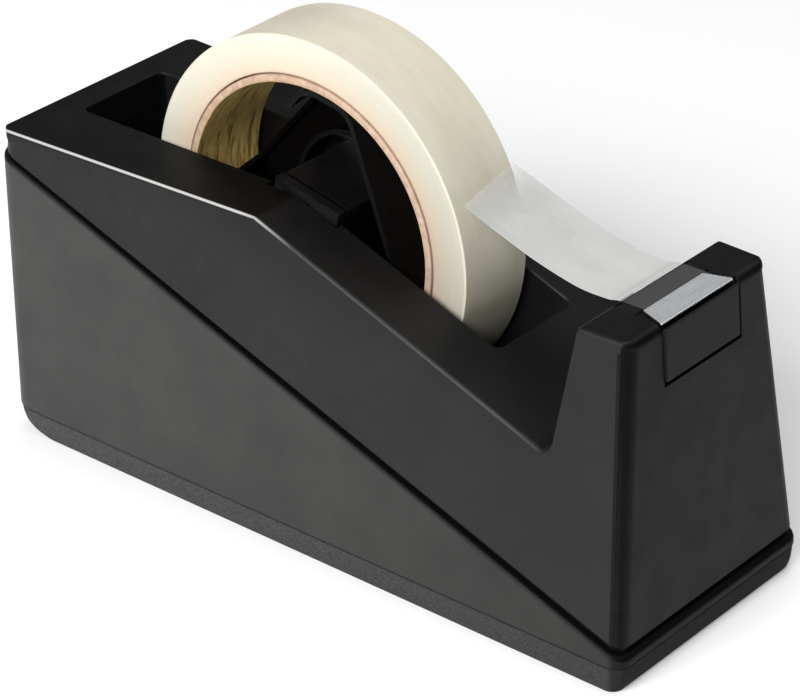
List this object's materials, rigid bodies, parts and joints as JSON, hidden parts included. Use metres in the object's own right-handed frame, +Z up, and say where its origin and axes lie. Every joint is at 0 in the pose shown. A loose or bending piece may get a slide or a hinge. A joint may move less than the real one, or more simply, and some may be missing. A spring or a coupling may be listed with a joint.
{
  "type": "desk tape dispenser",
  "caption": "Weighted desk tape dispenser: dark wedge-shaped base with a well for a wide tape roll on a lift-out spindle, and a serrated cutter on a raised front head.",
  "frame": {"origin": "middle of the footprint, at the bottom of the grip pad", "axes": "+X towards the cutter at the front, +Y to the left when facing forwards, +Z up"},
  "size_m": [0.204, 0.076, 0.1287],
  "materials": {
    "cover_plastic": "fine matt texture, black",
    "housing_plastic": "fine matt texture, dark grey",
    "pad_foam": "grainy foam rubber, dark grey",
    "hub_plastic": "moulded black",
    "blade_steel": "bright spring steel",
    "ballast_iron": "raw",
    "screw_steel": "zinc plated",
    "core_card": "wound paperboard",
    "tape_film": "clear adhesive film, ivory when wound"
  },
  "bodies": {
    "base": {"upper_cover": "cover_plastic", "lower_housing": "housing_plastic", "grip_pad": "pad_foam", "ballast_slab": "ballast_iron", "nose_ballast": "ballast_iron", "cover_screw_1": "screw_steel", "cover_screw_2": "screw_steel", "cover_screw_3": "screw_steel", "cover_screw_4": "screw_steel", "ballast_screw_1": "screw_steel", "ballast_screw_2": "screw_steel", "holder_screw_1": "screw_steel", "holder_screw_2": "screw_steel", "blade_holder": "cover_plastic", "cutting_blade": "blade_steel"},
    "spindle_set": {"spindle": "hub_plastic", "tape_strip": "tape_film"},
    "reel": {"core_hub": "hub_plastic", "tape_core": "core_card", "tape_roll": "tape_film"}
  },
  "joints": [
    {"name": "reel_lift", "type": "slide", "parent": "base", "child": "spindle_set", "axis": [0, 0, 1], "range_m": [0, 0.07]},
    {"name": "reel_spin", "type": "hinge", "parent": "spindle_set", "child": "reel", "pos_m": [-0.0167, 0, 0.0779], "axis": [0, 1, 0], "continuous": true}
  ]
}
